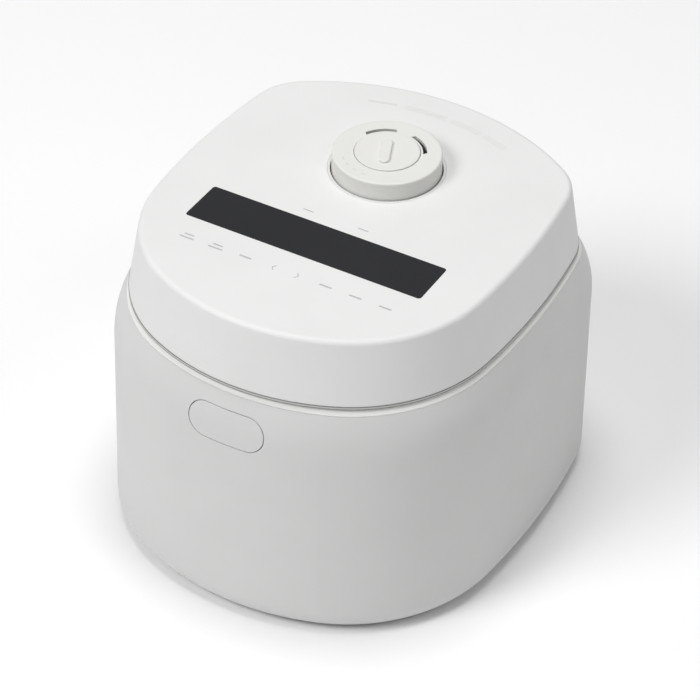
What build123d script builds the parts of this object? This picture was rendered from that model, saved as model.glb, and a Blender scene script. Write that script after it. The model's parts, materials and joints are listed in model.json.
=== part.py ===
from build123d import *
from math import atan2, cos, degrees, hypot, radians, sin, sqrt
import os

# Rice cooker with a hinged lid. Millimetres, +Z up, the front faces -Y.
# The origin is on the ground under the middle of the body.

# ---- driving dimensions ----
HALF_WIDTH = 125.0
WIDE_Y = 6.6                      # where the outline is widest
BODY_FRONT = 147.4                # from WIDE_Y forward to the front wall
BODY_BACK = 134.2                 # from WIDE_Y back to the rear wall
FLARE = 1.5                       # how far the wall leans out towards the bottom
BODY_BOTTOM_Z = 2.0
WALL_FOOT_Z = 14.8                # the bottom rounding ends here
WALL_TOP_Z = 128.0                # the shoulder starts here
RIM_Z = 157.7                     # top of the outer shell
RIM_INSET = 7.9
RIM_TOP_Z = 160.9
DECK_Z = 159.0                    # flat deck around the pot
RIM_FLOOR_Z = 156.0               # underside of the rim frame
WALL = 2.5

LID_BOTTOM_Z = 161.9
LID_SEAM_Z = 163.9                # between the lid's lower frame and its shell
LID_TOP_Z = 204.3
LID_LEAN = 6.9 / 42.4             # inward lean of the lid wall per unit height
LID_EDGE_R = 3.2

HINGE_Y = 125.0
HINGE_Z = 168.0
PIN_R = 2.0
PIN_PLAY = 0.05

POT_Y = -2.0
POT_R = 94.0
POT_WALL = 2.0
POT_BOTTOM_Z = 52.0
POT_FLANGE_R = 100.0

CAP_Y = 42.25
CAP_R = 32.45
CAP_TOP_Z = 215.8
DISC_R = 19.4
WELL_R = 33.3
WELL_FLOOR_Z = 182.0

WINDOW = (153.3, 31.9, 1.2)       # width, depth and thickness of the display window
WINDOW_Y = -41.15

BUTTON_Z = 137.75
BUTTON_W = 48.4
BUTTON_H = 21.8
BUTTON_GAP = 0.5

LATCH_Y = -124.0
LATCH_Z = 147.0
GAP = 0.3                         # between faces of parts that move apart


# ---- outlines made of eight tangent arcs ----
def meet(c1, r1, c2, r2, end):
    """Crossing point of two circles, the one nearer the front (end -1) or the rear (end 1)."""
    dx, dy = c2[0] - c1[0], c2[1] - c1[1]
    d = hypot(dx, dy)
    a = (r1 * r1 - r2 * r2 + d * d) / (2 * d)
    h = sqrt(r1 * r1 - a * a)
    x, y = c1[0] + a * dx / d, c1[1] + a * dy / d
    points = [(x + h * dy / d, y - h * dx / d), (x - h * dy / d, y + h * dx / d)]
    return max(points, key=lambda p: p[1] * end)


def heading(a, b):
    return degrees(atan2(b[1] - a[1], b[0] - a[0]))


def outline_arcs(half_width, front, back, side_r, front_r, front_corner_r, back_r, back_corner_r):
    """Arcs as (centre x, centre y, radius, start angle, sweep), anticlockwise from the front."""
    side = (half_width - side_r, WIDE_Y)
    nose = (0.0, WIDE_Y - front + front_r)
    rear = (0.0, WIDE_Y + back - back_r)
    c_front = meet(nose, front_r - front_corner_r, side, side_r - front_corner_r, -1)
    c_back = meet(rear, back_r - back_corner_r, side, side_r - back_corner_r, 1)
    a1, a2 = heading(nose, c_front), heading(side, c_front)
    a3, a4 = heading(side, c_back), heading(rear, c_back)
    return [
        (*nose, front_r, -180 - a1, 180 + 2 * a1),
        (*c_front, front_corner_r, a1, a2 - a1),
        (*side, side_r, a2, a3 - a2),
        (*c_back, back_corner_r, a3, a4 - a3),
        (*rear, back_r, a4, 180 - 2 * a4),
        (-c_back[0], c_back[1], back_corner_r, 180 - a4, a4 - a3),
        (-side[0], side[1], side_r, 180 - a3, a3 - a2),
        (-c_front[0], c_front[1], front_corner_r, 180 - a2, a2 - a1),
    ]


BODY = outline_arcs(HALF_WIDTH, BODY_FRONT, BODY_BACK, 477, 157, 104, 176, 52)
LID = outline_arcs(115.9, 139.6, 123.9, 465, 137, 96, 164, 43)


def slab(arcs, inset, z0, z1):
    """Flat plate with the outline moved in by inset."""
    edges = [CenterArc((x, y, z0), r - inset, start, sweep) for x, y, r, start, sweep in arcs]
    return extrude(Face(Wire(edges)), amount=z1 - z0, dir=(0, 0, 1))


def ring(arcs, edges):
    """Wall that follows the outline; the profile's x is minus the inset, its y is the height."""
    profile = Plane.XZ * make_face(edges)
    pieces = []
    for x, y, r, start, sweep in arcs:
        turned = revolve(Pos(r, 0, 0) * profile, axis=Axis.Z, revolution_arc=sweep)
        pieces.append(Pos(x, y, 0) * Rot(0, 0, start) * turned)
    return pieces[0].fuse(*pieces[1:])


# ---- small shapes ----
def block(x0, x1, y0, y1, z0, z1):
    size = (x1 - x0, y1 - y0, z1 - z0)
    return Pos((x0 + x1) / 2, (y0 + y1) / 2, (z0 + z1) / 2) * Box(*size)


def rod(x, y, z0, z1, radius):
    return Pos(x, y, (z0 + z1) / 2) * Cylinder(radius, z1 - z0)


def tube(x, y, z0, z1, outer, inner):
    return rod(x, y, z0, z1, outer) - rod(x, y, z0 - 1, z1 + 1, inner)


def rod_x(x0, x1, y, z, radius):
    return Pos((x0 + x1) / 2, y, z) * Rot(0, 90, 0) * Cylinder(radius, x1 - x0)


def pill_y(width, height, z, y0, y1):
    """Upright pill shape that runs along Y."""
    face = Plane.XZ * Pos(0, z) * SlotOverall(width, height)
    return Pos(0, y0, 0) * extrude(face, amount=y1 - y0, dir=(0, 1, 0))


def coil(radius, wire, length, turns):
    """Spring along +Z that starts at the origin's plane."""
    path = Helix(pitch=(length - 2 * wire) / turns, height=length - 2 * wire, radius=radius)
    start = Plane(origin=path @ 0, z_dir=path % 0)
    return Pos(0, 0, wire) * sweep(start * Circle(wire), path=path, is_frenet=True)


def spun(points, y=POT_Y):
    """Solid of revolution from (radius, height) points, about the upright line at y."""
    return Pos(0, y, 0) * revolve(Plane.XZ * make_face(Polyline(*points, close=True)), axis=Axis.Z)


def mirrored(shape):
    return [shape, mirror(shape, about=Plane.YZ)]


# ---- body shells ----
def body_profile(thickness):
    outer = [
        TangentArc((FLARE, WALL_FOOT_Z), (-6.5, BODY_BOTTOM_Z), tangent=(0, -1)),
        Line((FLARE, WALL_FOOT_Z), (0, WALL_TOP_Z)),
        TangentArc((0, WALL_TOP_Z), (-RIM_INSET, RIM_Z), tangent=(0, 1)),
    ]
    inner = [
        TangentArc((FLARE - thickness, WALL_FOOT_Z), (-9.0, BODY_BOTTOM_Z + thickness), tangent=(0, -1)),
        Line((FLARE - thickness, WALL_FOOT_Z), (-thickness, WALL_TOP_Z)),
        TangentArc((-thickness, WALL_TOP_Z), (-RIM_INSET - thickness, RIM_Z), tangent=(0, 1)),
    ]
    top = Line((-RIM_INSET, RIM_Z), (-RIM_INSET - thickness, RIM_Z))
    lip = Polyline(
        (-6.5, BODY_BOTTOM_Z),
        (-14, BODY_BOTTOM_Z),
        (-14, BODY_BOTTOM_Z + thickness),
        (-9.0, BODY_BOTTOM_Z + thickness),
    )
    return outer + [top] + inner + [lip]


BOSS_SPOTS = [(92, -62), (96, 74)]
VENT_X = [38 + 6 * i for i in range(7)]


def body_outer_shell():
    shell = ring(BODY, body_profile(WALL))
    for x, y in BOSS_SPOTS:
        post = rod(x, y, 6.3, 26, 5) + block(x, x + 24, y - 1.5, y + 1.5, 6.3, 26) - rod(x, y, 0, 30, 1.6)
        for boss in mirrored(post):
            shell += boss & slab(BODY, 1.0, 6.0, 27)
    shell -= pill_y(BUTTON_W + 2 * BUTTON_GAP, BUTTON_H + 2 * BUTTON_GAP, BUTTON_Z, -150, -120)
    shell -= block(-INLET[0], INLET[0], 125, 150, INLET[1], INLET[2])
    for x in VENT_X:
        for slot in mirrored(block(x - 1.25, x + 1.25, 100, 150, 60, 84)):
            shell -= slot
    return shell


INLET = (20.0, 22.0, 46.0)        # half-width, bottom and top of the power socket
FAN_X = -52.0
FAN_Y = 16.0
FOOT_SPOTS = [(72, -88), (84, 84)]


def base_plate():
    plate = slab(BODY, 14.2, 2.6, 5.0) + slab(BODY, 9.6, 4.6, 6.2)
    for i in range(-4, 5):
        length = 2 * sqrt(34 ** 2 - (7 * i) ** 2)
        plate -= block(FAN_X + 7 * i - 1.75, FAN_X + 7 * i + 1.75, FAN_Y - length / 2, FAN_Y + length / 2, 0, 9)
    for x in (24, 74):
        for y in (-56, 64):
            plate += rod(x, y, 6.0, 12.0, 3.5)
    for x, y in [(FAN_X + a, FAN_Y + b) for a in (-31, 31) for b in (-31, 31)]:
        plate += rod(x, y, 6.0, 9.0, 3.5)
    for angle in (100, 215, 280):
        x, y = 84 * cos(radians(angle)), POT_Y + 84 * sin(radians(angle))
        plate += rod(x, y, 6.0, 38.0, 4.0)
    for x, y in BOSS_SPOTS:
        for hole in mirrored(rod(x, y, 0, 9, 1.6)):
            plate -= hole
    for x, y in FOOT_SPOTS:
        for hole in mirrored(rod(x, y, 0, 9, 2.5)):
            plate -= hole
    return plate


def rubber_feet():
    feet = []
    for x, y in FOOT_SPOTS:
        feet += mirrored(rod(x, y, 0, 2.6, 9) + rod(x, y, 2.6, 7.5, 2.5) + rod(x, y, 6.3, 8.5, 3.4))
    return feet


def base_screws():
    screws = []
    for x, y in BOSS_SPOTS:
        screws += mirrored(rod(x, y, 1.2, 2.6, 3.2) + rod(x, y, 2.6, 20, 1.5))
    return screws


def body_rim_frame():
    edges = [
        ThreePointArc((-8.0, RIM_Z + 0.1), (-9.1, 159.5), (-10.6, RIM_TOP_Z)),
        Polyline((-10.6, RIM_TOP_Z), (-11.6, RIM_TOP_Z), (-13.2, DECK_Z), (-20, DECK_Z), (-20, RIM_FLOOR_Z),
                 (-10.8, RIM_FLOOR_Z), (-10.8, RIM_Z + 0.1), (-8.0, RIM_Z + 0.1)),
    ]
    frame = ring(BODY, edges) + slab(BODY, 19, RIM_FLOOR_Z, DECK_Z)
    frame -= rod(0, POT_Y, 150, 170, POT_R + 2.5)
    frame -= block(-14, 14, -129.7, -109, 150, 160)
    frame -= block(-COVER_X - 0.5, COVER_X + 0.5, HINGE_Y - 6, 140, DECK_Z, 170)
    for hole in mirrored(rod(9, HINGE_Y - 1, 150, 170, 1.2)) + mirrored(rod(25, -122, 150, 170, 1.2)):
        frame -= hole
    return frame


# ---- pot and heating ----
def rounded_cup(outer_r, wall, z0, z1, corner):
    """Open cup with a rounded bottom corner; returns it centred on the pot's axis."""
    edges = [
        Line((0, z0), (outer_r - corner, z0)),
        TangentArc((outer_r - corner, z0), (outer_r, z0 + corner), tangent=(1, 0)),
        Polyline((outer_r, z0 + corner), (outer_r, z1), (outer_r - wall, z1), (outer_r - wall, z0 + corner)),
        TangentArc((outer_r - corner, z0 + wall), (outer_r - wall, z0 + corner), tangent=(1, 0)),
        Polyline((outer_r - corner, z0 + wall), (0, z0 + wall), (0, z0)),
    ]
    return Pos(0, POT_Y, 0) * revolve(Plane.XZ * make_face(edges), axis=Axis.Z)


def inner_pot():
    pot = rounded_cup(POT_R, POT_WALL, POT_BOTTOM_Z, DECK_Z + 2.5, 22)
    flange = tube(0, POT_Y, DECK_Z, DECK_Z + 2.5, POT_FLANGE_R, POT_R - POT_WALL)
    return pot + fillet(flange.edges().sort_by(Axis.Z)[-2:], 0.8)


def pot_cradle():
    cup = rounded_cup(98.2, 1.2, 47, 155.8, 24) + tube(0, POT_Y, 154.4, 155.8, 103, 97.5)
    return cup - rod(0, POT_Y, 40, 50, 20)


def coil_holder():
    holder = tube(0, POT_Y, 38.2, 42.4, 90, 12.5) + tube(0, POT_Y, 38.2, 46.8, 90, 86)
    holder += tube(0, POT_Y, 26, 46.8, 14.5, 12.5) + tube(0, POT_Y, 24, 26, 14.5, 3)
    return holder


def induction_coil():
    turns = 13
    pitch = (84 - 26) / turns
    winding = tube(0, POT_Y, 42.6, 44.6, 84, 26)
    for i in range(turns):
        winding += Pos(0, POT_Y, 44.4) * Torus(26 + pitch * (i + 0.5), pitch * 0.42)
    return winding & tube(0, POT_Y, 42.6, 46.8, 84, 26)


def ferrite_bars():
    bar = block(24, 74, -5, 5, 33.4, 38.0)
    return [Pos(0, POT_Y, 0) * Rot(0, 0, 60 * i + 30) * bar for i in range(6)]


def pot_sensor():
    return rod(0, POT_Y, 38.4, 51.4, 12.1) - rod(0, POT_Y, 38, 49.8, 10.6)


def sensor_spring():
    return Pos(0, POT_Y, 26) * coil(8.5, 0.6, 23.6, 6)


# ---- electrics ----
def fan_frame():
    frame = Pos(FAN_X, FAN_Y, 16.5) * Box(70, 70, 15)
    frame = fillet(frame.edges().filter_by(Axis.Z), 5) - rod(FAN_X, FAN_Y, 0, 30, 33.5)
    frame += rod(FAN_X, FAN_Y, 9, 11, 13)
    for angle in (45, 135):
        frame += Pos(FAN_X, FAN_Y, 10) * Rot(0, 0, angle) * Box(72, 5, 2)
    for x, y in [(FAN_X + a, FAN_Y + b) for a in (-31, 31) for b in (-31, 31)]:
        frame -= rod(x, y, 0, 30, 1.8)
    return frame


def fan_rotor():
    rotor = rod(FAN_X, FAN_Y, 11.6, 23.0, 13)
    for i in range(7):
        blade = Pos(22, 0, 17.2) * Rot(38, 0, 0) * Box(21, 13, 1.2)
        rotor += Pos(FAN_X, FAN_Y, 0) * Rot(0, 0, i * 360 / 7) * blade
    return rotor


def power_board():
    return block(18, 80, -62, 70, 12.0, 13.6)


def heat_sink():
    sink = block(24, 54, -58, -18, 13.6, 17.6)
    for i in range(9):
        sink += block(24 + 3.5 * i, 25.4 + 3.5 * i, -58, -18, 17.4, 31)
    return sink


def board_components():
    return [
        block(58, 78, -58, -24, 13.6, 29),
        rod(34, 2, 13.6, 31, 10),
        tube(66, 0, 13.6, 22, 12, 5),
        block(22, 42, 24, 58, 13.6, 30),
        block(48, 76, 28, 60, 13.6, 27),
    ]


def power_inlet():
    half, z0, z1 = INLET
    body = block(-half + 0.2, half - 0.2, 116, 138.6, z0 + 0.2, z1 - 0.2)
    flange = block(-half - 4, half + 4, 130, 132.5, z0 - 4, z1 + 4)
    socket = body + flange - block(-13, 13, 121, 140, 28, 40)
    for hole in inlet_pins():
        socket -= hole
    return socket


def inlet_pins():
    return mirrored(Pos(6.5, 124, 34) * Rot(90, 0, 0) * Cylinder(1.8, 22))


# ---- release button and latch ----
def release_button():
    edges = body_profile(9.0)
    pill = pill_y(BUTTON_W, BUTTON_H, BUTTON_Z, -150, -133.6)
    button = ring(BODY, edges) & pill
    button += pill_y(BUTTON_W + 4, BUTTON_H + 4, BUTTON_Z, -132.9, -131.4)
    button += pill_y(BUTTON_W - 1, BUTTON_H - 1, BUTTON_Z, -136.4, -131.4)
    button -= pill_y(BUTTON_W - 6, BUTTON_H - 6, BUTTON_Z, -135.0, -131.0)
    return button + block(-5, 5, -136, -127 - GAP, 129.6, 132.8)


def button_springs():
    spring = Pos(14.5, -119, BUTTON_Z) * Rot(90, 0, 0) * coil(4, 0.4, 15.9, 6)
    return mirrored(spring)


def button_housing():
    housing = block(-31, 31, -128, -117, 120, 154.5) - block(-29, 29, -129, -119, 122, 160)
    housing -= block(-9.5, 9.5, -123.5, -116, 149, 160)
    for side in mirrored(block(8, 10, -128, -118, 140, 152)):
        housing += side
    for side in mirrored(block(20, 31, -127, -117, 152.5, 156)):
        housing += side
    for hole in mirrored(rod(25, -122, 150, 157, 1.2)):
        housing -= hole
    return housing - rod_x(-12, 12, LATCH_Y, LATCH_Z, PIN_R)


def housing_screws():
    return mirrored(rod(25, -122, 152, 155.8, 1.2) + rod(25, -122, 150.6, 152.5, 2.6))


def latch_hook():
    arm = block(-5, 5, -126.2, -122.5, 132, 148) + rod_x(-5, 5, LATCH_Y, LATCH_Z, 3.6)
    arm += rod_x(-5, 5, -124.75, 132, 2.25) + block(-5, 5, -127, -124.8, 148, 158)
    arm += block(-5, 5, -125, -123.4, 155, 158)
    return arm - rod_x(-6, 6, LATCH_Y, LATCH_Z, PIN_R + PIN_PLAY)


def latch_pin():
    return rod_x(-10.8, 10.8, LATCH_Y, LATCH_Z, PIN_R)


def latch_spring():
    spring = Rot(0, 90, 0) * coil(2.9, 0.35, 2.4, 3)
    return Pos(5.3, LATCH_Y, LATCH_Z) * spring


# ---- hinge ----
KNUCKLE_X = (28.0, 33.0)
BLOCK_X = 15.5
COVER_X = 27.0
COVER_R = 7.3
SHROUD_R = 8.2
SHROUD_X = 35.0


def hinge_block():
    leg = block(-BLOCK_X, BLOCK_X, HINGE_Y - 5.4, HINGE_Y + 3.6, DECK_Z, HINGE_Z)
    body = leg + rod_x(-BLOCK_X, BLOCK_X, HINGE_Y, HINGE_Z, 5.5)
    return body - rod_x(-60, 60, HINGE_Y, HINGE_Z, PIN_R)


def hinge_cover():
    cover = rod_x(-COVER_X, COVER_X, HINGE_Y, HINGE_Z, COVER_R)
    cover -= rod_x(-COVER_X + 1.2, COVER_X - 1.2, HINGE_Y, HINGE_Z, COVER_R - 1.3)
    cover -= block(-90, 90, HINGE_Y - 20, HINGE_Y + 20, 150, HINGE_Z - 1)
    cover += block(-COVER_X, COVER_X, HINGE_Y + COVER_R - 1.3, HINGE_Y + COVER_R, 160, HINGE_Z)
    return cover - rod_x(-60, 60, HINGE_Y, HINGE_Z, PIN_R)


def hinge_pin():
    return rod_x(-KNUCKLE_X[1] - 1.5, KNUCKLE_X[1] + 1.5, HINGE_Y, HINGE_Z, PIN_R)


def torsion_springs():
    spring = Pos(BLOCK_X + 0.5, HINGE_Y, HINGE_Z) * Rot(0, 90, 0) * coil(3.2, 0.5, 9.4, 7)
    return mirrored(spring)


def hinge_screws():
    return mirrored(rod(9, HINGE_Y - 1, 154, 156, 2.2) + rod(9, HINGE_Y - 1, 156, DECK_Z, 1.2))


# ---- lid ----
LID_BOSSES = [(95, -60), (90, 70)]
CLIP = (9.0, -107.0, -100.3, 1.6)  # half-width, front, rear and thickness of the inner lid's clip


def lid_outer_shell():
    def lean(z):
        return -(z - LID_BOTTOM_Z) * LID_LEAN

    edges = [
        FilletPolyline((lean(LID_SEAM_Z), LID_SEAM_Z), (lean(LID_TOP_Z), LID_TOP_Z), (-24, LID_TOP_Z),
                       radius=LID_EDGE_R),
        Line((-24, LID_TOP_Z), (-24, LID_TOP_Z - WALL)),
        FilletPolyline((lean(LID_SEAM_Z) - WALL, LID_SEAM_Z), (lean(LID_TOP_Z) - WALL, LID_TOP_Z - WALL),
                       (-24, LID_TOP_Z - WALL), radius=LID_EDGE_R - WALL),
        Line((lean(LID_SEAM_Z) - WALL, LID_SEAM_Z), (lean(LID_SEAM_Z), LID_SEAM_Z)),
    ]
    shell = ring(LID, edges) + slab(LID, 23, LID_TOP_Z - WALL, LID_TOP_Z)
    for x, y in LID_BOSSES:
        for boss in mirrored(tube(x, y, 168.3, LID_TOP_Z - 1, 4, 1.5)):
            shell += boss
    width, depth, thick = WINDOW
    window = Pos(0, WINDOW_Y, LID_TOP_Z) * extrude(RectangleRounded(width, depth, 2), amount=2 * thick, both=True)
    shell -= window & block(-90, 90, -90, 0, LID_TOP_Z - thick, LID_TOP_Z + 5)
    shell -= block(-width / 2 + 3, width / 2 - 3, WINDOW_Y - depth / 2 + 3, WINDOW_Y + depth / 2 - 3, 195, 206)
    shell -= rod(0, CAP_Y, 195, 210, WELL_R + 1.7)
    shell -= rod_x(-SHROUD_X - 1.6, SHROUD_X + 1.6, HINGE_Y, HINGE_Z, SHROUD_R + 1.5)
    shell -= block(-SHROUD_X - 1.6, SHROUD_X + 1.6, HINGE_Y - 9, HINGE_Y + 20, 160, HINGE_Z)
    return shell


def display_window():
    width, depth, thick = WINDOW
    pane = extrude(RectangleRounded(width - 0.2, depth - 0.2, 1.9), amount=thick)
    return Pos(0, WINDOW_Y, LID_TOP_Z - thick) * pane


def lcd_module():
    glass = block(-62, 62, WINDOW_Y - 12, WINDOW_Y + 12, 199.6, 203.0)
    return glass + block(-64, 64, WINDOW_Y - 12.5, WINDOW_Y + 12.5, 196.4, 199.8)


BOARD_X = 66.0
POST_SPOTS = [(x, y) for x in (-62, 62) for y in (-94, -25)]


def display_board():
    board = block(-BOARD_X, BOARD_X, -98, -22, 194.6, 196.2)
    for x, y in POST_SPOTS:
        board -= rod(x, y, 190, 200, 1.6)
    return board


def touch_key_sheet():
    return block(-BOARD_X, BOARD_X, -98, -62, LID_TOP_Z - WALL - 1.6, LID_TOP_Z - WALL - 0.1)


def board_posts():
    posts = []
    for x, y in POST_SPOTS:
        top = LID_TOP_Z - WALL - (1.6 if y < -60 else 0)
        posts.append(tube(x, y, 196.2, top, 2.6, 1.6))
    return posts


def lid_lower_frame():
    frame = slab(LID, 0.1, LID_BOTTOM_Z, LID_SEAM_Z) + slab(LID, 3.6, LID_SEAM_Z - 0.5, 168)
    frame -= rod(0, POT_Y, 150, 180, 98.6)
    frame += tube(0, POT_Y, 166.6, 171, 101, 98.6)
    inside = slab(LID, 3.6, 163.5, 180)
    shroud = rod_x(-SHROUD_X - 1.5, SHROUD_X + 1.5, HINGE_Y, HINGE_Z, SHROUD_R + 1.4)
    shroud -= block(-90, 90, HINGE_Y - 20, HINGE_Y + 20, 150, HINGE_Z - 2)
    frame += shroud & inside
    frame -= rod_x(-SHROUD_X, SHROUD_X, HINGE_Y, HINGE_Z, SHROUD_R)
    frame -= block(-SHROUD_X, SHROUD_X, HINGE_Y - SHROUD_R, HINGE_Y + 20, 160, HINGE_Z)
    for knuckle in mirrored(
        rod_x(*KNUCKLE_X, HINGE_Y, HINGE_Z, 5) + block(*KNUCKLE_X, HINGE_Y - 8.4, HINGE_Y, HINGE_Z - 1, HINGE_Z + 4)
    ):
        frame += knuckle
    frame -= rod_x(-80, 80, HINGE_Y, HINGE_Z, PIN_R + PIN_PLAY)
    for x, y in LID_BOSSES:
        for hole in mirrored(rod(x, y, 160, 170, 1.6) + rod(x, y, 160, 165.2, 3.4)):
            frame -= hole
    half, y0, y1, thick = CLIP
    frame -= block(-half - 0.2, half + 0.2, y0 - 0.2, y1 + 3, 160, LID_BOTTOM_Z + thick + 0.1)
    return frame - block(-7.2, 7.2, -121.2, -116.8, 160, 170)


def lid_screws():
    screws = []
    for x, y in LID_BOSSES:
        screws += mirrored(rod(x, y, 163.7, 165.2, 3.2) + rod(x, y, 165.2, 180, 1.45))
    return screws


def lid_catch():
    catch = block(-7, 7, -121, -117, 154, 168.5) + block(-10, 10, -123, -115, 168, 169.6)
    catch += block(-7, 7, -122.5, -117, 152, 154.6)
    return catch - block(-5.5, 5.5, -125, -118.2, 154.6, 159.5)


def lid_liner():
    plate = tube(0, POT_Y, 166.8, 168.0, 98.4, 70) + spun([(70, 166.8), (70, 168), (66, 169.6), (66, 168.4)])
    plate += rod(0, POT_Y, 168.4, 169.6, 66.1) - rod(0, CAP_Y, 160, 175, 11.3)
    return plate - rod(-34, POT_Y - 20, 160, 175, 4.0)


def lid_heater():
    return Pos(0, POT_Y, 169.9) * Torus(84, 1.8)


def inner_lid():
    plate = rod(0, POT_Y, 163.6, 164.8, 88) + tube(0, POT_Y, 162.6, 163.8, 84, 81)
    for x, y in [(0, CAP_Y), (-22, CAP_Y - 6), (22, CAP_Y - 6)]:
        plate -= rod(x, y, 150, 170, 5 if x == 0 else 2.5)
    for i in range(-1, 2):
        plate += block(-40, 40, POT_Y - 20 + 16 * i, POT_Y - 17 + 16 * i, 162.9, 163.7)
    return plate


def inner_lid_gasket():
    points = [(88, 163.0), (88, 166.2), (96.5, 166.2), (98, 162.6), (97, 161.8), (93, 161.8), (91, 163.0)]
    return spun(points)


def inner_lid_clip():
    half, y0, y1, thick = CLIP
    return block(-half, half, y0, y1, LID_BOTTOM_Z, LID_BOTTOM_Z + thick)


def lid_sensor():
    return rod(-34, POT_Y - 20, 165.1, 166.8, 6) + rod(-34, POT_Y - 20, 166.8, 176, 4.0)


def steam_well():
    well = tube(0, CAP_Y, WELL_FLOOR_Z - 2, LID_TOP_Z, WELL_R + 1.6, WELL_R)
    well += tube(0, CAP_Y, WELL_FLOOR_Z - 2, WELL_FLOOR_Z, WELL_R + 1.6, 8.5)
    return well + tube(0, CAP_Y, 165.4, WELL_FLOOR_Z, 11, 8.5)


# ---- steam cap ----
def steam_cap_top():
    cup = rod(0, CAP_Y, 200, CAP_TOP_Z, CAP_R)
    cup = fillet(cup.edges().sort_by(Axis.Z)[-1:], 1.2)
    cup -= rod(0, CAP_Y, 190, CAP_TOP_Z - 2.2, CAP_R - 2)
    cup -= rod(0, CAP_Y, 190, 220, DISC_R + 0.3)
    for angle in (51, 129):
        slot = tube(0, CAP_Y, 205, 220, 23.4, 20.9)
        wedge = Pos(0, CAP_Y, 212) * Rot(0, 0, angle) * block(15, 30, -9.2, 9.2, -10, 10)
        cup -= slot & wedge
    return cup


RIB_TURN = -67.5                  # the finger rib points a little to the right of the front


def steam_cap_disc():
    disc = rod(0, CAP_Y, CAP_TOP_Z - 3.0, CAP_TOP_Z + 0.8, DISC_R)
    disc = fillet(disc.edges().sort_by(Axis.Z)[-1:], 0.7) + rod(0, CAP_Y, CAP_TOP_Z - 3.6, CAP_TOP_Z - 2.25, 20.6)
    rib = Pos(0, CAP_Y - 1.7, CAP_TOP_Z + 0.8) * extrude(SlotOverall(23, 6.4, rotation=RIB_TURN), amount=1.6)
    return disc + fillet(rib.edges().sort_by(Axis.Z)[-4:], 0.9)


def steam_cap_base():
    cup = rod(0, CAP_Y, WELL_FLOOR_Z + GAP, 211, 30.2) - rod(0, CAP_Y, WELL_FLOOR_Z + 2.3, 220, 28.4)
    cup -= tube(0, CAP_Y, 208, 220, 40, 30.0)
    cup += tube(0, CAP_Y, WELL_FLOOR_Z + 2, 197, 8.5, 6.5) - block(-2, 2, CAP_Y - 12, CAP_Y + 12, 190, 198)
    cup += tube(0, CAP_Y, 197, 198.5, 8.5, 4)
    return cup - rod(0, CAP_Y, 175, 190, 4)


def steam_cap_gasket():
    return tube(0, CAP_Y, 197.4, 199.9, 32.6, 30.2)


def steam_valve_ball():
    return Pos(0, CAP_Y, WELL_FLOOR_Z + 2.3 + 3.0 + GAP) * Sphere(5)


PARTS = [
    body_outer_shell, base_plate, rubber_feet, base_screws, body_rim_frame, inner_pot, pot_cradle, coil_holder,
    induction_coil, ferrite_bars, pot_sensor, sensor_spring, fan_frame, fan_rotor, power_board, heat_sink,
    board_components, power_inlet, inlet_pins, release_button, button_springs, button_housing, housing_screws,
    latch_hook, latch_pin, latch_spring, hinge_block, hinge_cover, hinge_pin, torsion_springs, hinge_screws,
    lid_outer_shell, display_window, lcd_module, display_board, touch_key_sheet, board_posts, lid_lower_frame,
    lid_screws, lid_catch, lid_liner, lid_heater, inner_lid, inner_lid_gasket, inner_lid_clip, lid_sensor,
    steam_well, steam_cap_top, steam_cap_disc, steam_cap_base, steam_cap_gasket, steam_valve_ball,
]


def whole(shape):
    """One shape for a sub-part that is made of several separate solids."""
    if isinstance(shape, list):
        return Compound(children=[piece.solid() for piece in shape])
    return shape


os.makedirs("parts", exist_ok=True)
for make in PARTS:
    export_step(whole(make()), f"parts/{make.__name__}.step")
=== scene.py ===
import json
import math

import bmesh
import bpy
from mathutils import Matrix, Vector


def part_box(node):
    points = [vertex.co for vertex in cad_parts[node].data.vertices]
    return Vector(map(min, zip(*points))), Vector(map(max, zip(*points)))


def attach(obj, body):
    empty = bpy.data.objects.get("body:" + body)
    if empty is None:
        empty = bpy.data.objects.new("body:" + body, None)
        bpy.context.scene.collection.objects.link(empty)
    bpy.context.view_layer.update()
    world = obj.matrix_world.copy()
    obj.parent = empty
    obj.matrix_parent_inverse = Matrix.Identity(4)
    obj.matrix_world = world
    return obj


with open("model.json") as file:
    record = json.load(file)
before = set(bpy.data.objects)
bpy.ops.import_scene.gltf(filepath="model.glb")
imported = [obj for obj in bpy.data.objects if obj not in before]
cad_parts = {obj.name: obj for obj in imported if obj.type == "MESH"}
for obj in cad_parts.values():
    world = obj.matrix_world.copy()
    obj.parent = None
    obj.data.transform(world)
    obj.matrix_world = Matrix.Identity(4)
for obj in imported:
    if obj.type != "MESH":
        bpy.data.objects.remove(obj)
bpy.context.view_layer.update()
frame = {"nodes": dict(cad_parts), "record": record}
MM = 0.001

# ---- the view ----
AZIMUTH = 28.88
ELEVATION = 38.75
ROLL = 1.35
DISTANCE = 1.813
TARGET = Vector((0.0, 0.0066, 0.102))
LENS = 156.03
SHIFT = (-0.0048, -0.0185)


def make_camera():
    a, e, r = math.radians(AZIMUTH), math.radians(ELEVATION), math.radians(ROLL)
    back = Vector((math.sin(a) * math.cos(e), -math.cos(a) * math.cos(e), math.sin(e)))
    right = (-back).cross(Vector((0, 0, 1))).normalized()
    up = right.cross(-back)
    side = math.cos(r) * right + math.sin(r) * up
    top = -math.sin(r) * right + math.cos(r) * up
    data = bpy.data.cameras.new("camera")
    data.lens = LENS
    data.sensor_width = 36.0
    data.shift_x, data.shift_y = SHIFT
    data.clip_start, data.clip_end = 0.05, 20.0
    camera = bpy.data.objects.new("camera", data)
    bpy.context.scene.collection.objects.link(camera)
    turn = Matrix((side, top, back)).transposed().to_4x4()
    camera.matrix_world = Matrix.Translation(TARGET + back * DISTANCE) @ turn
    bpy.context.scene.camera = camera


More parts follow.
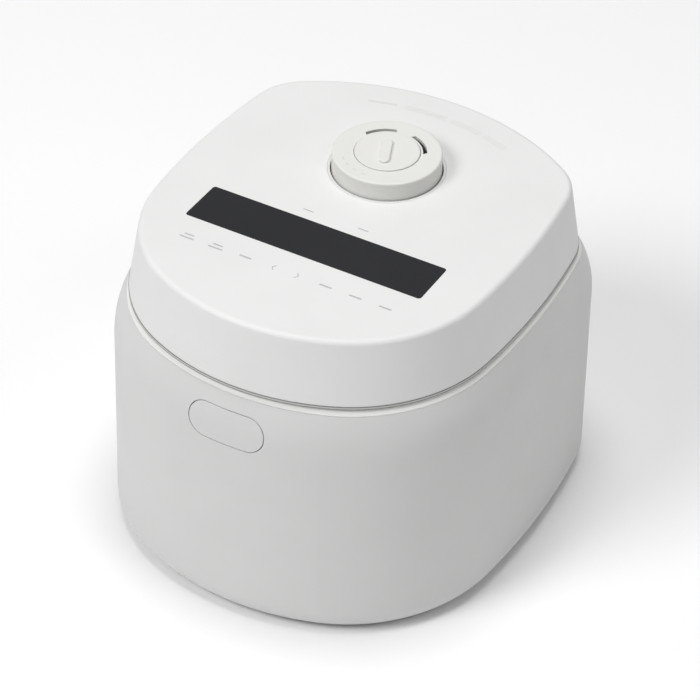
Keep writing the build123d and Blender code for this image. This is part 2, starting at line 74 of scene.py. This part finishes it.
# ---- node helpers ----
class Shader:
    """A material's node tree, with short ways to add and join nodes."""

    def __init__(self, name):
        self.material = bpy.data.materials.new(name)
        self.material.use_nodes = True
        self.tree = self.material.node_tree
        self.bsdf = self.tree.nodes["Principled BSDF"]
        self.place = self.add("ShaderNodeTexCoord").outputs["Object"]

    def add(self, kind, **values):
        node = self.tree.nodes.new(kind)
        for key, value in values.items():
            setattr(node, key, value)
        return node

    def join(self, source, target):
        self.tree.links.new(source, target)

    def stretched(self, scale):
        mapping = self.add("ShaderNodeMapping")
        mapping.inputs["Scale"].default_value = scale
        self.join(self.place, mapping.inputs["Vector"])
        return mapping.outputs["Vector"]

    def noise(self, size, detail=3.0, vector=None):
        """Noise whose blobs are about size metres across."""
        node = self.add("ShaderNodeTexNoise")
        node.inputs["Scale"].default_value = 1.0 / size
        node.inputs["Detail"].default_value = detail
        self.join(vector or self.place, node.inputs["Vector"])
        return node.outputs["Fac"]

    def cells(self, size):
        """Distance inside cells about size metres across."""
        node = self.add("ShaderNodeTexVoronoi")
        node.inputs["Scale"].default_value = 1.0 / size
        self.join(self.place, node.inputs["Vector"])
        return node.outputs["Distance"]

    def spread(self, source, low, high, start=0.3, end=0.7):
        """The source's start to end, spread over low to high."""
        node = self.add("ShaderNodeMapRange")
        node.inputs["From Min"].default_value = start
        node.inputs["From Max"].default_value = end
        node.inputs["To Min"].default_value = low
        node.inputs["To Max"].default_value = high
        self.join(source, node.inputs["Value"])
        return node.outputs["Result"]

    def two_tone(self, source, first, second, start=0.3, end=0.7):
        ramp = self.add("ShaderNodeValToRGB")
        ramp.color_ramp.elements[0].position = start
        ramp.color_ramp.elements[1].position = end
        ramp.color_ramp.elements[0].color = (*first, 1)
        ramp.color_ramp.elements[1].color = (*second, 1)
        self.join(source, ramp.inputs["Fac"])
        return ramp.outputs["Color"]

    def blend(self, factor, first, second):
        mix = self.add("ShaderNodeMix", data_type="RGBA")
        self.join(factor, mix.inputs["Factor"])
        self.join(first, mix.inputs["A"])
        self.join(second, mix.inputs["B"])
        return mix.outputs["Result"]

    def bump(self, source, depth, strength, normal=None):
        """Bump of depth metres; returns its normal."""
        node = self.add("ShaderNodeBump")
        node.inputs["Strength"].default_value = strength
        node.inputs["Distance"].default_value = depth
        self.join(source, node.inputs["Height"])
        if normal is not None:
            self.join(normal, node.inputs["Normal"])
        return node.outputs["Normal"]

    def soft_edges(self, radius):
        """Normal that rounds the edges, and a mask that is high on them."""
        bevel = self.add("ShaderNodeBevel", samples=4)
        bevel.inputs["Radius"].default_value = radius
        geometry = self.add("ShaderNodeNewGeometry")
        dot = self.add("ShaderNodeVectorMath", operation="DOT_PRODUCT")
        self.join(bevel.outputs["Normal"], dot.inputs[0])
        self.join(geometry.outputs["Normal"], dot.inputs[1])
        mask = self.spread(dot.outputs["Value"], 1.0, 0.0, 0.86, 0.995)
        return bevel.outputs["Normal"], mask

    def set(self, **values):
        names = {"ior": "IOR", "coat": "Coat Weight", "coat_rough": "Coat Roughness", "metal": "Metallic",
                 "specular": "Specular IOR Level", "sheen": "Sheen Weight",
                 "subsurface": "Subsurface Weight", "subsurface_scale": "Subsurface Scale"}
        for key, value in values.items():
            self.bsdf.inputs[names[key]].default_value = value


def shade(color, amount):
    return tuple(max(0.0, min(1.0, c * amount)) for c in color)


def plainer(color, share):
    """The colour moved towards its own grey by share."""
    grey = sum(color) / 3
    return tuple(c + (grey - c) * share for c in color)


# ---- materials ----
SEAM_SPAN = 3.4 * MM
# height above the frame's underside as a share of SEAM_SPAN, and how much of the colour stays there; this is
# painted shade, dark along the two seams and grey on the strip between them
SEAM_PAINTED_SHADE = (
    (0.0, 1.0), (0.02, 0.22), (0.12, 0.3), (0.2, 0.72),
    (0.42, 0.72), (0.5, 0.3), (0.6, 0.25), (0.66, 1.0),
)


def moulded_shader(name, color, rough, grain=0.35 * MM, depth=0.012 * MM, wear=0.06):
    """Injection-moulded plastic: spark-eroded grain, faint flow clouds and slightly polished edges."""
    s = Shader(name)
    normal, edges = s.soft_edges(0.5 * MM)
    clouds = s.noise(45 * MM, 2.0)
    base = s.two_tone(clouds, shade(color, 0.985), shade(color, 1.012))
    specks = s.noise(0.9 * MM, 4.0)
    worn = s.two_tone(specks, shade(color, 1.0 + wear), shade(color, 1.0 + wear * 0.6))
    s.join(s.blend(edges, base, worn), s.bsdf.inputs["Base Color"])
    handled = s.noise(18 * MM, 4.0)
    s.join(s.spread(handled, rough - 0.035, rough + 0.035), s.bsdf.inputs["Roughness"])
    fine = s.bump(s.noise(grain, 2.0), depth, 0.5, normal)
    s.join(s.bump(s.noise(30 * MM, 1.0), 0.05 * MM, 0.25, fine), s.bsdf.inputs["Normal"])
    s.set(ior=1.49, specular=0.4)
    return s


def moulded(*values):
    return moulded_shader(*values).material


def frame_with_painted_seam_shade(name, color):
    """Plastic of the lid's lower frame, with painted shade along the two seams round its edge and on the strip
    between them.
    """
    s = moulded_shader(name, color, 0.5)
    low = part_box("lid_lower_frame")[0].z
    split = s.add("ShaderNodeSeparateXYZ")
    s.join(s.place, split.inputs["Vector"])
    # painted shade: a ramp by height that darkens the two seams and the strip between them
    ramp = s.add("ShaderNodeValToRGB")
    while len(ramp.color_ramp.elements) < len(SEAM_PAINTED_SHADE):
        ramp.color_ramp.elements.new(0.5)
    for element, (place, value) in zip(ramp.color_ramp.elements, SEAM_PAINTED_SHADE):
        element.position = place
        element.color = (value, value, value, 1)
    height = s.spread(split.outputs["Z"], 0.0, 1.0, low, low + SEAM_SPAN)
    s.join(height, ramp.inputs["Fac"])
    plain = s.bsdf.inputs["Base Color"].links[0].from_socket
    # the plain colour multiplied by the painted shade
    mix = s.add("ShaderNodeMix", data_type="RGBA", blend_type="MULTIPLY")
    mix.inputs["Factor"].default_value = 1.0
    s.join(plain, mix.inputs["A"])
    s.join(ramp.outputs["Color"], mix.inputs["B"])
    s.join(mix.outputs["Result"], s.bsdf.inputs["Base Color"])
    return s.material


def smoked_window(name, color):
    """Charcoal display window: smooth, with a hard coat, faint wipe marks and dust."""
    s = Shader(name)
    normal, _ = s.soft_edges(0.25 * MM)
    clouds = s.noise(60 * MM, 2.0)
    base = s.two_tone(clouds, shade(color, 0.94), shade(color, 1.06))
    dust = s.two_tone(s.cells(2.6 * MM), shade(color, 1.5), shade(color, 1.0), 0.0, 0.035)
    s.join(s.blend(s.spread(s.noise(9 * MM), 0.0, 0.35), base, dust), s.bsdf.inputs["Base Color"])
    wipes = s.noise(14 * MM, 5.0)
    s.join(s.spread(wipes, 0.28, 0.34), s.bsdf.inputs["Roughness"])
    s.join(s.bump(s.noise(24 * MM, 1.0), 0.02 * MM, 0.2, normal), s.bsdf.inputs["Normal"])
    s.set(ior=1.45, coat=0.08, coat_rough=0.2, specular=0.3)
    return s.material


def rubbery(name, color):
    """Dull rubber with a little dust."""
    s = Shader(name)
    normal, edges = s.soft_edges(0.4 * MM)
    dusty = s.two_tone(s.noise(6 * MM, 5.0), shade(color, 0.92), shade(color, 1.1))
    s.join(s.blend(edges, dusty, s.two_tone(s.noise(2 * MM), shade(color, 1.15), shade(color, 1.25))),
           s.bsdf.inputs["Base Color"])
    s.join(s.spread(s.noise(3 * MM, 4.0), 0.64, 0.8), s.bsdf.inputs["Roughness"])
    s.join(s.bump(s.noise(0.5 * MM, 3.0), 0.03 * MM, 0.5, normal), s.bsdf.inputs["Normal"])
    s.set(ior=1.45, sheen=0.15)
    return s.material


def silicone(name, color):
    """Slightly milky silicone rubber."""
    s = Shader(name)
    normal, _ = s.soft_edges(0.4 * MM)
    s.join(s.two_tone(s.noise(12 * MM, 3.0), shade(color, 0.93), shade(color, 1.05)), s.bsdf.inputs["Base Color"])
    s.join(s.spread(s.noise(2 * MM, 4.0), 0.42, 0.56), s.bsdf.inputs["Roughness"])
    s.join(s.bump(s.noise(0.8 * MM, 2.0), 0.02 * MM, 0.4, normal), s.bsdf.inputs["Normal"])
    s.set(ior=1.41, subsurface=0.25, subsurface_scale=1.5 * MM)
    return s.material


def brushed(name, color, rough, along=(0.02, 1.0, 1.0)):
    """Metal with fine drawn lines and brighter edges."""
    s = Shader(name)
    normal, edges = s.soft_edges(0.35 * MM)
    lines = s.noise(0.25 * MM, 3.0, s.stretched(along))
    base = s.two_tone(lines, shade(color, 0.9), shade(color, 1.06))
    bright = s.two_tone(s.noise(1.5 * MM), shade(color, 1.1), shade(color, 1.2))
    s.join(s.blend(edges, base, bright), s.bsdf.inputs["Base Color"])
    s.join(s.spread(lines, rough - 0.07, rough + 0.1), s.bsdf.inputs["Roughness"])
    s.join(s.bump(lines, 0.012 * MM, 0.4, normal), s.bsdf.inputs["Normal"])
    s.set(metal=1.0)
    return s.material


def coated_pot(name, color):
    """Dark non-stick coating with fine light specks over metal."""
    s = Shader(name)
    normal, _ = s.soft_edges(0.4 * MM)
    clouds = s.two_tone(s.noise(20 * MM, 3.0), shade(color, 0.85), shade(color, 1.15))
    specks = s.two_tone(s.cells(0.8 * MM), (0.55, 0.5, 0.44), shade(color, 1.0), 0.05, 0.13)
    s.join(s.blend(s.spread(s.noise(2.4 * MM), 0.0, 0.9, 0.45, 0.6), clouds, specks), s.bsdf.inputs["Base Color"])
    s.join(s.spread(s.noise(5 * MM, 4.0), 0.28, 0.42), s.bsdf.inputs["Roughness"])
    s.join(s.bump(s.noise(0.7 * MM, 3.0), 0.02 * MM, 0.5, normal), s.bsdf.inputs["Normal"])
    s.set(ior=1.5, metal=0.25, coat=0.2, coat_rough=0.25)
    return s.material


def wound_copper(name, color):
    """Lacquered stranded wire: fine twisted strands."""
    s = Shader(name)
    strands = s.noise(0.35 * MM, 2.0, s.stretched((1.0, 1.0, 0.3)))
    s.join(s.two_tone(strands, shade(color, 0.5), shade(color, 1.2)), s.bsdf.inputs["Base Color"])
    s.join(s.spread(strands, 0.25, 0.45), s.bsdf.inputs["Roughness"])
    s.join(s.bump(strands, 0.12 * MM, 0.7), s.bsdf.inputs["Normal"])
    s.set(metal=0.85, coat=0.4, coat_rough=0.15)
    return s.material


def fired(name, color):
    """Dull fired ferrite with a coarse grain."""
    s = Shader(name)
    normal, _ = s.soft_edges(0.5 * MM)
    s.join(s.two_tone(s.noise(1.2 * MM, 5.0), shade(color, 0.7), shade(color, 1.4)), s.bsdf.inputs["Base Color"])
    s.join(s.spread(s.noise(2 * MM), 0.5, 0.7), s.bsdf.inputs["Roughness"])
    s.join(s.bump(s.noise(0.4 * MM, 4.0), 0.05 * MM, 0.7, normal), s.bsdf.inputs["Normal"])
    s.set(ior=1.6)
    return s.material


def circuit_board(name, color):
    """Lacquered board with paler tracks and pads under the lacquer."""
    s = Shader(name)
    tracks = s.add("ShaderNodeTexBrick")
    tracks.inputs["Scale"].default_value = 90.0
    tracks.inputs["Mortar Size"].default_value = 0.03
    tracks.inputs["Color1"].default_value = (*shade(color, 0.85), 1)
    tracks.inputs["Color2"].default_value = (*color, 1)
    tracks.inputs["Mortar"].default_value = (*shade(color, 1.9), 1)
    s.join(s.place, tracks.inputs["Vector"])
    pads = s.two_tone(s.cells(7 * MM), (0.62, 0.6, 0.5), shade(color, 1.0), 0.08, 0.12)
    s.join(s.blend(s.spread(s.cells(7 * MM), 1.0, 0.0, 0.08, 0.12), tracks.outputs["Color"], pads),
           s.bsdf.inputs["Base Color"])
    s.join(s.spread(s.noise(4 * MM), 0.2, 0.34), s.bsdf.inputs["Roughness"])
    s.join(s.bump(tracks.outputs["Fac"], 0.03 * MM, 0.4), s.bsdf.inputs["Normal"])
    s.set(ior=1.5, coat=0.3, coat_rough=0.1)
    return s.material


def printed(name, color):
    """Pad-printed ink: flat, slightly uneven cover."""
    s = Shader(name)
    s.join(s.two_tone(s.noise(0.6 * MM, 3.0), shade(color, 0.94), shade(color, 1.06)), s.bsdf.inputs["Base Color"])
    s.join(s.spread(s.noise(1.5 * MM), 0.5, 0.6), s.bsdf.inputs["Roughness"])
    s.join(s.bump(s.noise(0.25 * MM, 2.0), 0.004 * MM, 0.5), s.bsdf.inputs["Normal"])
    s.set(ior=1.45)
    return s.material


def slot_color(slot):
    for entry in frame["record"]["materials"]:
        if entry["slot"] == slot:
            return tuple(entry["base_color"][:3])
    raise KeyError(slot)


RECIPES = {
    "shell_white": lambda n, c: moulded(n, shade(plainer(c, 0.8), 0.87), 0.5),
    "lid_white": lambda n, c: moulded(n, shade(plainer(c, 0.5), 0.95), 0.5),
    "cap_white": lambda n, c: moulded(n, shade(c, 0.93), 0.46, 0.3 * MM),
    "button_white": lambda n, c: moulded(n, shade(plainer(c, 0.8), 0.87), 0.5, 0.3 * MM),
    "frame_white": lambda n, c: moulded(n, c, 0.45, 0.5 * MM),
    "inner_plastic": lambda n, c: moulded(n, c, 0.5, 0.6 * MM, 0.03 * MM, 0.5),
    "component_dark": lambda n, c: moulded(n, c, 0.36, 0.4 * MM, 0.02 * MM, 0.4),
    "window_charcoal": lambda n, c: smoked_window(n, shade(c, 0.55)),
    "lcd_glass": smoked_window,
    "soft_grey": rubbery,
    "silicone_clear": silicone,
    "pot_coating": coated_pot,
    "steel": lambda n, c: brushed(n, c, 0.28, (1.0, 0.05, 1.0)),
    "aluminium": lambda n, c: brushed(n, c, 0.34),
    "contact_metal": lambda n, c: brushed(n, c, 0.22, (1.0, 0.1, 1.0)),
    "copper": wound_copper,
    "ferrite": fired,
    "board_green": circuit_board,
}

# nodes whose colour differs from the other nodes of their slot by painted shade or painted light
OWN_PAINTED_LIGHT_FINISH = {
    "lid_lower_frame": frame_with_painted_seam_shade,
    # painted light: the rim frame's colour is made 15% brighter to stand in for light that the lid's overhang
    # keeps off it
    "body_rim_frame": lambda n, c: moulded(n, shade(c, 1.15), 0.5),
}


def dress_cad():
    """Every CAD node gets the finish of its material slot, or one of its own with painted shade or painted light.
    """
    made = {slot: recipe(slot + "_finish", slot_color(slot)) for slot, recipe in RECIPES.items()}
    own = {node: recipe(node + "_finish", slot_color("frame_white")) for node, recipe in OWN_PAINTED_LIGHT_FINISH.items()}
    for part in frame["record"]["subparts"]:
        node = frame["nodes"][part["node"]]
        finish = own.get(part["node"], made[part["material_slot"]])
        node.data.materials.clear()
        node.data.materials.append(finish)


# ---- printed marks on the lid ----
MARK_LIFT = 0.04 * MM
INK_THICKNESS = 0.02 * MM
CHEVRON_ANGLE = math.radians(55)
CHEVRON_OVERLAP = 0.78


class Marks:
    """Flat printed marks gathered into one thin mesh at one height."""

    def __init__(self, height):
        self.mesh = bmesh.new()
        self.height = height

    def shape(self, points):
        """Closed prism over the outline, lifted just clear of the surface."""
        floor = self.height + MARK_LIFT
        low = [self.mesh.verts.new((x, y, floor)) for x, y in points]
        high = [self.mesh.verts.new((x, y, floor + INK_THICKNESS)) for x, y in points]
        self.mesh.faces.new(list(reversed(low)))
        self.mesh.faces.new(high)
        for i in range(len(points)):
            j = (i + 1) % len(points)
            self.mesh.faces.new((low[i], low[j], high[j], high[i]))

    def bar(self, x, y, length, width, angle=0.0, steps=8):
        """Rounded bar with its middle at x, y."""
        half, r = length / 2 - width / 2, width / 2
        points = []
        for side in (1, -1):
            for i in range(steps + 1):
                t = math.radians(-90 + 180 * i / steps)
                points.append((side * (half + r * math.cos(t)), side * r * math.sin(t)))
        c, s = math.cos(angle), math.sin(angle)
        self.shape([(x + c * px - s * py, y + s * px + c * py) for px, py in points])

    def chevron(self, x, y, size, width, side):
        """Arrow of two bars; side 1 points to -X and side -1 to +X."""
        for turn in (1, -1):
            rise = turn * size / 2 * CHEVRON_OVERLAP
            self.bar(x, y + rise, size, width, CHEVRON_ANGLE * turn * side)

    def arc(self, x, y, radius, width, start, end, steps):
        """Curved bar about x, y, from start to end degrees."""
        outer, inner = [], []
        for i in range(steps + 1):
            t = math.radians(start + (end - start) * i / steps)
            outer.append((x + (radius + width / 2) * math.cos(t), y + (radius + width / 2) * math.sin(t)))
            inner.append((x + (radius - width / 2) * math.cos(t), y + (radius - width / 2) * math.sin(t)))
        self.shape(outer + inner[::-1])

    def finish(self, name, body, material, slot):
        data = bpy.data.meshes.new(name)
        bmesh.ops.recalc_face_normals(self.mesh, faces=self.mesh.faces)
        self.mesh.to_mesh(data)
        self.mesh.free()
        data.materials.append(material)
        piece = bpy.data.objects.new(name, data)
        bpy.context.scene.collection.objects.link(piece)
        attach(piece, body)


KEY_Y = -73.9 * MM
ARROW_KEY_X = 7.6 * MM
ARROW_SIZE = (3.0 * MM, 0.55 * MM)  # length and width of each of its bars
INNER_KEY_X = 26 * MM
OUTER_KEYS_X = (45 * MM, 64 * MM)
WORD_BAR = (8.0 * MM, 1.2 * MM)     # length and width, as below
UPPER_BAR = (6.5 * MM, 1.1 * MM)
LOWER_BAR = (9.5 * MM, 1.1 * MM)
ROW_STEP = 1.5 * MM                 # from a two row key's middle to each row
HINT_Y = -17.6 * MM
HINT_X = 18 * MM
HINT_BAR = (7.0 * MM, 0.8 * MM)


def lid_marks(ink):
    """Touch key marks: chevrons in the middle, plain bars in place of words."""
    marks = Marks(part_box("lid_outer_shell")[1].z)
    marks.chevron(-ARROW_KEY_X, KEY_Y, *ARROW_SIZE, 1)
    marks.chevron(ARROW_KEY_X, KEY_Y, *ARROW_SIZE, -1)
    for x in (INNER_KEY_X, *OUTER_KEYS_X, -INNER_KEY_X):
        marks.bar(x, KEY_Y, *WORD_BAR)
    for x in OUTER_KEYS_X:
        marks.bar(-x, KEY_Y + ROW_STEP, *UPPER_BAR)
        marks.bar(-x, KEY_Y - ROW_STEP, *LOWER_BAR)
    for x in (-HINT_X, HINT_X):
        marks.bar(x, HINT_Y, *HINT_BAR)
    marks.finish("key_marks", "lid", ink, "soft_grey")


TICK_RADIUS = 26.5 * MM
TICK_WIDTH = 0.6 * MM
TICK_STARTS = (222, 236, 250, 264)  # degrees from +X
TICK_SWEEP = 6


def cap_ticks(ink):
    """Short setting ticks round the front left of the steam cap's ring."""
    low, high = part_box("steam_cap_top")
    x, y = (low.x + high.x) / 2, (low.y + high.y) / 2
    ticks = Marks(high.z)
    for start in TICK_STARTS:
        ticks.arc(x, y, TICK_RADIUS, TICK_WIDTH, start, start + TICK_SWEEP, 6)
    ticks.finish("cap_ticks", "cap", ink, "soft_grey")


REAR_ARC_R = 157.1 * MM             # radius of the lid top's rear edge
REAR_EDGE_GAP = 46.4 * MM           # from the steam well to that edge
REAR_ROWS = (17.6 * MM, 19.2 * MM, 20.8 * MM)  # rows of hairlines, in from that edge
REAR_DASHES = ((99.0, 87.5), (86.0, 77.0), (76.0, 68.5))  # first and last degree, from +X
HAIRLINE_WIDTH = 0.45 * MM
REAR_BAR_WIDTH = 1.7 * MM
REAR_BAR_SWEEP = (101.0, 108.5)


def rear_hairlines(ink):
    """Faint plain hairlines along the lid's rear edge, in place of small print."""
    centre_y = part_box("steam_well")[1].y + REAR_EDGE_GAP - REAR_ARC_R
    lines = Marks(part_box("lid_outer_shell")[1].z)
    lines.arc(0.0, centre_y, REAR_ARC_R - REAR_ROWS[1], REAR_BAR_WIDTH, *REAR_BAR_SWEEP, 10)
    for row in REAR_ROWS:
        for end, start in REAR_DASHES:
            lines.arc(0.0, centre_y, REAR_ARC_R - row, HAIRLINE_WIDTH, start, end, 12)
    lines.finish("rear_hairlines", "lid", ink, "soft_grey")


# ---- water level ridges in the pot ----
POT_WALL_R = 91.9 * MM              # the pot's inner wall
LEVEL_COUNT = 6
LEVEL_FIRST_Z = 84 * MM
LEVEL_STEP_Z = 11 * MM
LEVEL_SWEEPS = (16, 9)              # degrees, long and short lines by turns
LEVEL_STEPS = 10                    # segments along each line
# a ridge's section: in from the wall, and up from the line's middle
LEVEL_SECTION = ((0.0, -0.45 * MM), (0.35 * MM, -0.25 * MM), (0.35 * MM, 0.25 * MM), (0.0, 0.45 * MM))


def level_marks():
    """Raised level lines on the rear of the pot's inner wall, at even steps."""
    low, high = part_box("inner_pot")
    centre_y = (low.y + high.y) / 2
    mesh = bmesh.new()
    for level in range(LEVEL_COUNT):
        z = LEVEL_FIRST_Z + level * LEVEL_STEP_Z
        sweep = LEVEL_SWEEPS[level % 2]
        rings = []
        for i in range(LEVEL_STEPS + 1):
            t = math.radians(90 - sweep / 2 + sweep * i / LEVEL_STEPS)
            row = []
            for inset, rise in LEVEL_SECTION:
                r = POT_WALL_R - inset
                row.append(mesh.verts.new((r * math.cos(t), centre_y + r * math.sin(t), z + rise)))
            rings.append(row)
        for a, b in zip(rings, rings[1:]):
            for k in range(4):
                mesh.faces.new((a[k], a[(k + 1) % 4], b[(k + 1) % 4], b[k]))
        mesh.faces.new(rings[0])
        mesh.faces.new(rings[-1][::-1])
    bmesh.ops.recalc_face_normals(mesh, faces=mesh.faces)
    data = bpy.data.meshes.new("level_marks")
    mesh.to_mesh(data)
    mesh.free()
    data.materials.append(printed("level_ink", (0.62, 0.6, 0.56)))
    piece = bpy.data.objects.new("level_marks", data)
    bpy.context.scene.collection.objects.link(piece)
    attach(piece, "body")


# ---- studio ----
FLOOR_HALF = 6.0
FLOOR_Z = -0.2 * MM                 # just under the feet
LIGHT_AIM = Vector((0.0, 0.0, 0.1))
LIGHTS = (                          # name, place, size, power
    ("overhead", (0.0, 0.2, 3.4), 1.8, 56),
    ("key", (-1.35, -2.4, 2.85), 1.6, 65),
    ("right", (2.7, -0.4, 3.2), 1.5, 13),
)
WORLD_STRENGTH = 0.2


def make_floor():
    data = bpy.data.meshes.new("floor")
    signs = ((-1, -1), (1, -1), (1, 1), (-1, 1))
    data.from_pydata([(x * FLOOR_HALF, y * FLOOR_HALF, FLOOR_Z) for x, y in signs], [], [(0, 1, 2, 3)])
    s = Shader("floor_paper")
    s.join(s.two_tone(s.noise(0.4, 3.0), (0.98, 0.98, 0.98), (0.99, 0.99, 0.99)), s.bsdf.inputs["Base Color"])
    s.bsdf.inputs["Roughness"].default_value = 0.9
    s.set(specular=0.1)
    data.materials.append(s.material)
    floor = bpy.data.objects.new("floor", data)
    bpy.context.scene.collection.objects.link(floor)


def area_light(name, place, size, power):
    data = bpy.data.lights.new(name, "AREA")
    data.shape = "DISK"
    data.size = size
    data.energy = power
    lamp = bpy.data.objects.new(name, data)
    bpy.context.scene.collection.objects.link(lamp)
    lamp.location = place
    lamp.rotation_mode = "QUATERNION"
    lamp.rotation_quaternion = (LIGHT_AIM - Vector(place)).to_track_quat("-Z", "Y")


def make_light():
    bpy.context.scene.view_settings.view_transform = "Standard"
    world = bpy.data.worlds.new("studio")
    world.use_nodes = True
    background = world.node_tree.nodes["Background"]
    background.inputs["Color"].default_value = (1, 1, 1, 1)
    background.inputs["Strength"].default_value = WORLD_STRENGTH
    bpy.context.scene.world = world
    for light in LIGHTS:
        area_light(*light)


make_camera()
dress_cad()
lid_marks(printed("key_ink", (0.5, 0.5, 0.5)))
cap_ticks(printed("cap_ink", (0.66, 0.66, 0.64)))
rear_hairlines(printed("hairline_ink", (0.72, 0.72, 0.71)))
level_marks()
make_floor()
make_light()
